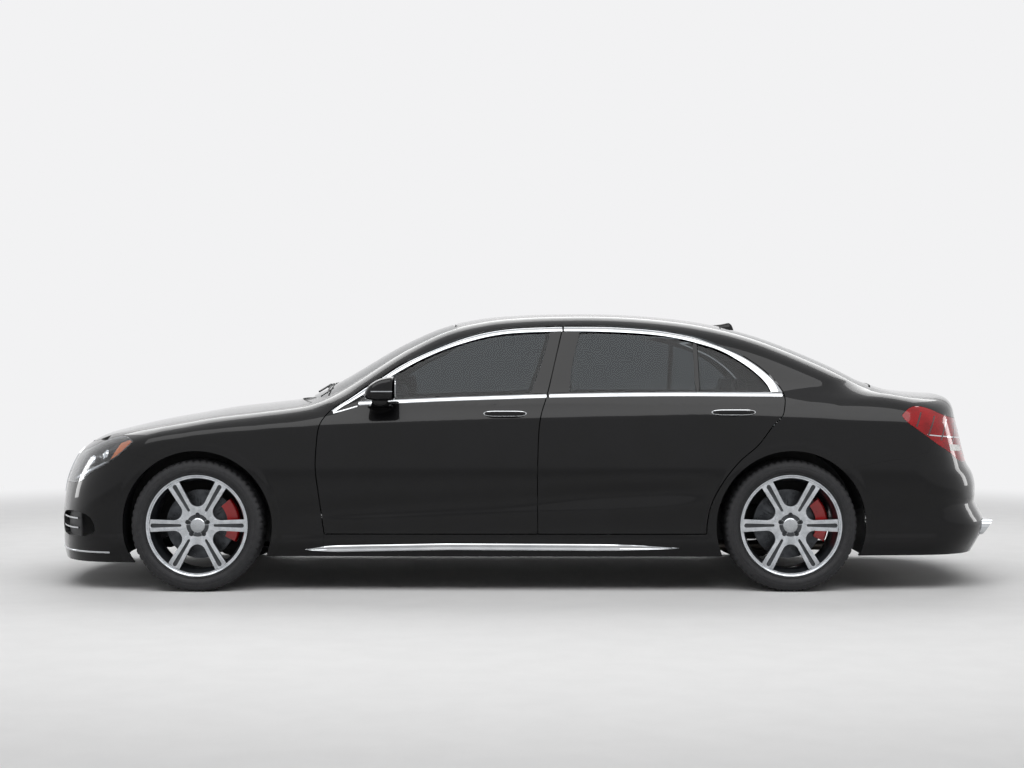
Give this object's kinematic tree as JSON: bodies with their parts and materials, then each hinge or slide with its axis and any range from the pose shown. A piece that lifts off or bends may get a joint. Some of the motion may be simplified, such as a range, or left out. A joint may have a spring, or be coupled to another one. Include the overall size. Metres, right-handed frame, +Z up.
{
  "type": "luxury sedan",
  "caption": "Full-size luxury sedan with opening doors, hood and trunk lid, a hollow cabin with seats, steered front wheels and free-turning wheels.",
  "frame": {"origin": "on the ground, midway along and across the body", "axes": "+Z up, the nose points to -X, the car's left side is at -Y"},
  "size_m": [5.22, 2.12, 1.5055],
  "materials": {
    "paint": "gloss",
    "glass": "tinted",
    "clear_lens": "clear",
    "red_lens": "gloss",
    "chrome": "polished",
    "tyre": "matt",
    "alloy": "machined",
    "disc_iron": "ground",
    "steel": "satin",
    "trim": "grained",
    "leather": "soft"
  },
  "bodies": {
    "body": {"side_frame_left": "paint", "side_frame_right": "paint", "underbody": "steel", "fender_left": "paint", "fender_right": "paint", "roof_panel": "paint", "windshield": "glass", "rear_window": "glass", "front_bumper": "paint", "rear_bumper": "paint", "grille": "chrome", "headlamp_left": "clear_lens", "headlamp_right": "clear_lens", "tail_lamp_left": "red_lens", "tail_lamp_right": "red_lens", "engine": "steel", "exhaust": "steel", "front_subframe": "steel", "rear_axle": "steel", "dashboard": "trim", "front_seat_left": "leather", "front_seat_right": "leather", "rear_bench": "leather"},
    "hood": {"hood": "paint"},
    "trunk_lid": {"trunk_lid": "paint"},
    "steering_wheel": {"steering_wheel": "trim"},
    "front_door_left": {"front_door_left": "paint", "front_glass_left": "glass", "mirror_left": "paint"},
    "rear_door_left": {"rear_door_left": "paint", "rear_glass_left": "glass"},
    "front_knuckle_left": {"front_knuckle_left": "steel"},
    "front_wheel_left": {"front_tyre_left": "tyre", "front_rim_left": "alloy", "front_disc_left": "disc_iron"},
    "rear_wheel_left": {"rear_tyre_left": "tyre", "rear_rim_left": "alloy", "rear_disc_left": "disc_iron"},
    "front_door_right": {"front_door_right": "paint", "front_glass_right": "glass", "mirror_right": "paint"},
    "rear_door_right": {"rear_door_right": "paint", "rear_glass_right": "glass"},
    "front_knuckle_right": {"front_knuckle_right": "steel"},
    "front_wheel_right": {"front_tyre_right": "tyre", "front_rim_right": "alloy", "front_disc_right": "disc_iron"},
    "rear_wheel_right": {"rear_tyre_right": "tyre", "rear_rim_right": "alloy", "rear_disc_right": "disc_iron"}
  },
  "joints": [
    {"name": "hood_hinge", "type": "hinge", "parent": "body", "child": "hood", "pos_m": [-1.15, 0, 1.026], "axis": [0, 1, 0], "range_deg": [0, 50]},
    {"name": "trunk_hinge", "type": "hinge", "parent": "body", "child": "trunk_lid", "pos_m": [1.902, 0, 1.111], "axis": [0, -1, 0], "range_deg": [0, 75]},
    {"name": "front_door_left_hinge", "type": "hinge", "parent": "body", "child": "front_door_left", "pos_m": [-1.1025, -0.951, 0.6], "axis": [0, 0, -1], "range_deg": [0, 65]},
    {"name": "rear_door_left_hinge", "type": "hinge", "parent": "body", "child": "rear_door_left", "pos_m": [0.0785, -0.956, 0.6], "axis": [0, 0, -1], "range_deg": [0, 65]},
    {"name": "steering_left", "type": "hinge", "parent": "body", "child": "front_knuckle_left", "pos_m": [-1.738, -0.6575, 0.352], "axis": [0, 0, 1], "range_deg": [-35, 35]},
    {"name": "front_spin_left", "type": "hinge", "parent": "front_knuckle_left", "child": "front_wheel_left", "pos_m": [-1.738, -0.8075, 0.352], "axis": [0, 1, 0], "continuous": true},
    {"name": "rear_spin_left", "type": "hinge", "parent": "body", "child": "rear_wheel_left", "pos_m": [1.427, -0.7975, 0.352], "axis": [0, 1, 0], "continuous": true},
    {"name": "front_door_right_hinge", "type": "hinge", "parent": "body", "child": "front_door_right", "pos_m": [-1.1025, 0.951, 0.6], "axis": [0, 0, 1], "range_deg": [0, 65]},
    {"name": "rear_door_right_hinge", "type": "hinge", "parent": "body", "child": "rear_door_right", "pos_m": [0.0785, 0.956, 0.6], "axis": [0, 0, 1], "range_deg": [0, 65]},
    {"name": "steering_right", "type": "hinge", "parent": "body", "child": "front_knuckle_right", "pos_m": [-1.738, 0.6575, 0.352], "axis": [0, 0, 1], "range_deg": [-35, 35]},
    {"name": "front_spin_right", "type": "hinge", "parent": "front_knuckle_right", "child": "front_wheel_right", "pos_m": [-1.738, 0.8075, 0.352], "axis": [0, 1, 0], "continuous": true},
    {"name": "rear_spin_right", "type": "hinge", "parent": "body", "child": "rear_wheel_right", "pos_m": [1.427, 0.7975, 0.352], "axis": [0, 1, 0], "continuous": true},
    {"name": "steering_wheel_turn", "type": "hinge", "parent": "body", "child": "steering_wheel", "pos_m": [-0.6, -0.385, 0.93], "axis": [0.9136, 0, 0.4067], "range_deg": [-500, 500]}
  ],
  "couplings": [
    {"joint": "steering_right", "follows": "steering_left", "ratio": 1},
    {"joint": "steering_wheel_turn", "follows": "steering_left", "ratio": 14}
  ]
}
